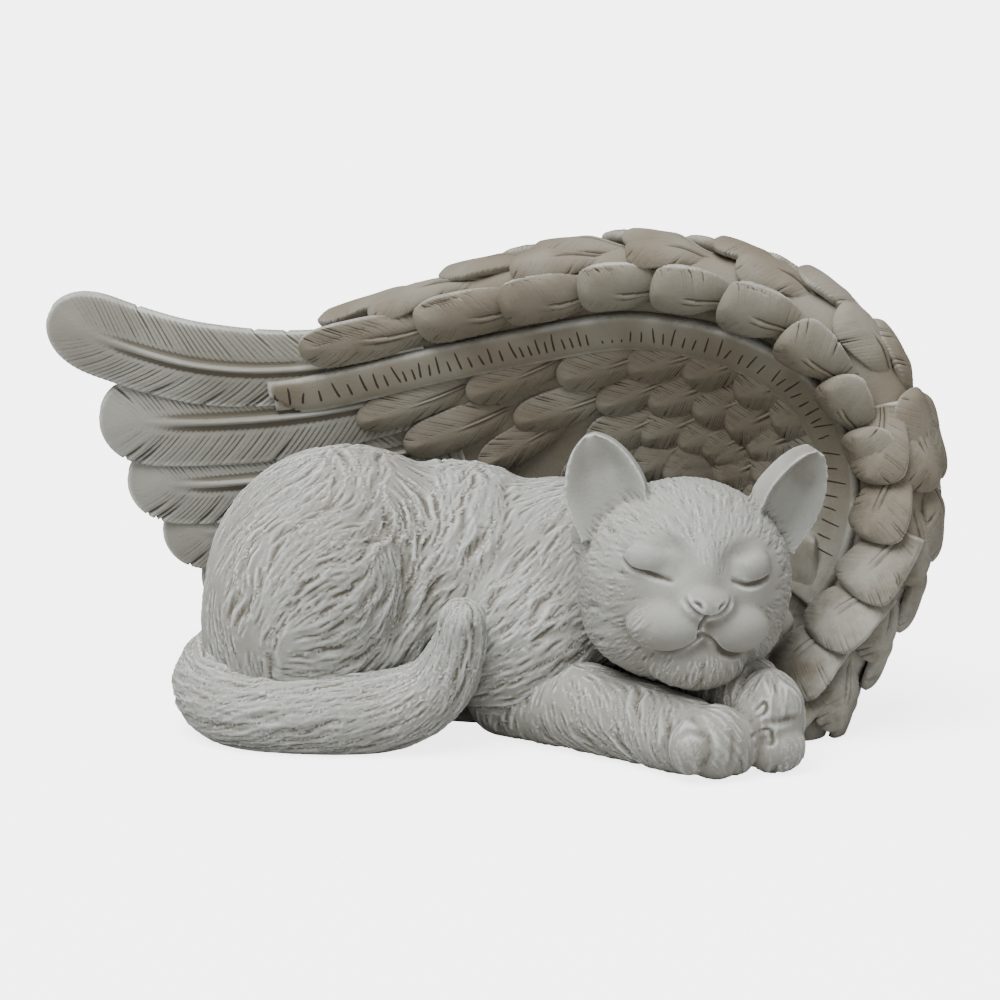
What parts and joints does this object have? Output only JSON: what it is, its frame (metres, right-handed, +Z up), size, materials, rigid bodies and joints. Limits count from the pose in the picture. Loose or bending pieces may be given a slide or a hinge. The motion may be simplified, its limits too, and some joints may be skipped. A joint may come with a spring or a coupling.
{
  "type": "memorial statue",
  "caption": "Cast memorial statue of a sleeping cat under a curled feathered wing; stands on its flat underside as a garden or shelf marker",
  "frame": {"origin": "middle of the flat underside, under the middle of the statue's box", "axes": "+X runs along the length, from the tip of the wing to the side of the cat's head; -Y faces the viewer; +Z is up"},
  "size_m": [0.232, 0.101, 0.127],
  "materials": {
    "cast_stone": "matt, washed darker in the recesses and brushed pale on the ridges"
  },
  "bodies": {
    "root": {"statue": "cast_stone"}
  },
  "joints": []
}
